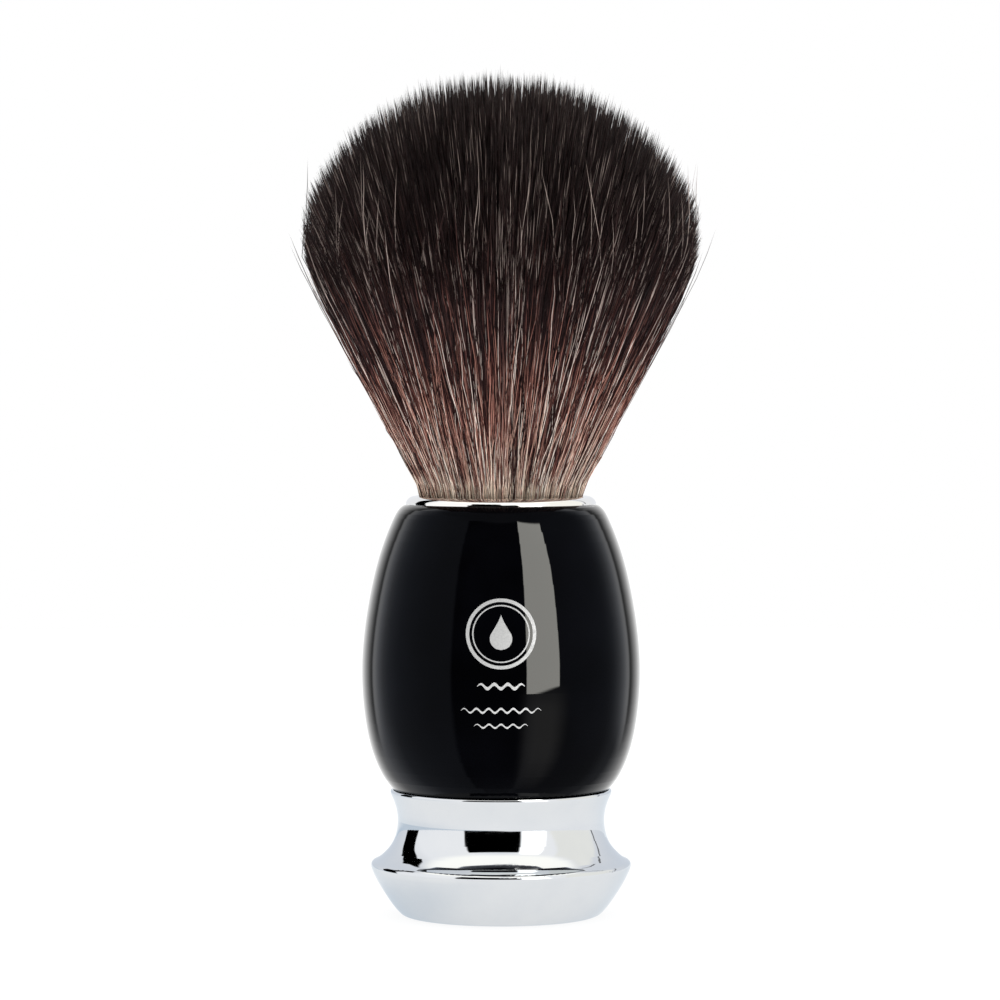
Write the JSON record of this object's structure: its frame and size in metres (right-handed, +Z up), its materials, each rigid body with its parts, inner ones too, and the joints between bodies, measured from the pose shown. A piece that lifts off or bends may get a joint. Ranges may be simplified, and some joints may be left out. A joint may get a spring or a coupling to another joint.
{
  "type": "shaving brush",
  "caption": "Shaving brush with a fan-shaped synthetic knot, a glossy barrel handle, a polished collar and a waisted metal foot.",
  "frame": {"origin": "centre of the underside of the foot, on the surface the brush stands on", "axes": "+Z up along the brush axis towards the fibre tips, -Y is the front that carries the printed mark, +X to the right of the front"},
  "size_m": [0.0516, 0.0516, 0.1064],
  "materials": {
    "foot_chrome": "polished chrome plating on a casting",
    "foot_rubber": "fine matt elastomer",
    "hardware_steel": "zinc-plated steel",
    "seal_rubber": "smooth nitrile",
    "insert_brass": "turned and knurled",
    "barrel_resin": "black resin, turned and polished to a high gloss",
    "collar_chrome": "polished chrome plating",
    "adhesive": "cured epoxy",
    "cup_plastic": "moulded nylon",
    "knot_resin": "cast resin",
    "twine": "waxed twine",
    "fibre": "crimped synthetic fibre, near black at the tips, reddish brown to pale tan at the root"
  },
  "bodies": {
    "handle": {"base": "foot_chrome", "foot_plug": "foot_rubber", "tie_screw": "hardware_steel", "spring_washer": "hardware_steel", "plain_washer": "hardware_steel", "base_seal": "seal_rubber", "barrel_insert": "insert_brass", "barrel": "barrel_resin", "collar": "collar_chrome", "collar_adhesive": "adhesive", "loft_spacer": "cup_plastic", "bedding_epoxy": "adhesive", "knot_ferrule": "cup_plastic", "knot_plug": "knot_resin", "knot_binding": "twine", "fibre_root": "fibre"},
    "knot": {"fibre_bloom": "fibre"}
  },
  "joints": [
    {"name": "knot_flex", "type": "hinge", "parent": "handle", "child": "knot", "pos_m": [0, 0, 0.053], "axis": [0, 1, 0], "range_deg": [-30, 30], "stiffness_Nm_per_rad": 0.15}
  ]
}
